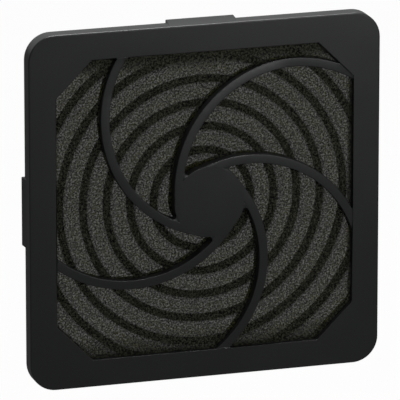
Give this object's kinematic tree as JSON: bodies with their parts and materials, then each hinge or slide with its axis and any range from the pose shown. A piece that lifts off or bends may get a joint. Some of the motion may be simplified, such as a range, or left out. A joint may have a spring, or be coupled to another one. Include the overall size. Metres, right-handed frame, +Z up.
{
  "type": "fan filter guard",
  "caption": "Clip-on filter guard for a square cabinet fan: a ring grille that bolts to the fan, a thin foam pad, and a bordered cover with domed spiral arms.",
  "frame": {"origin": "middle of the four screw holes, on the back face that meets the fan", "axes": "+Y out of the back, towards the fan; the front faces -Y; +Z up as in the picture; +X to the right seen from the front"},
  "size_m": [0.1254, 0.0098, 0.1254],
  "materials": {
    "guard_plastic": "black moulded plastic, matte",
    "foam": "open-cell reticulated foam, dark grey",
    "cover_plastic": "black moulded plastic, fine satin"
  },
  "bodies": {
    "base": {"filter_guard": "guard_plastic"},
    "foam": {"filter_foam": "foam"},
    "cover": {"snap_cover": "cover_plastic"}
  },
  "joints": [
    {"name": "cover_slide", "type": "slide", "parent": "base", "child": "cover", "axis": [0, -1, 0], "range_m": [0, 0.03]},
    {"name": "foam_slide", "type": "slide", "parent": "base", "child": "foam", "axis": [0, -1, 0], "range_m": [0, 0.015]}
  ],
  "couplings": [
    {"joint": "foam_slide", "follows": "cover_slide", "ratio": 0.5}
  ]
}
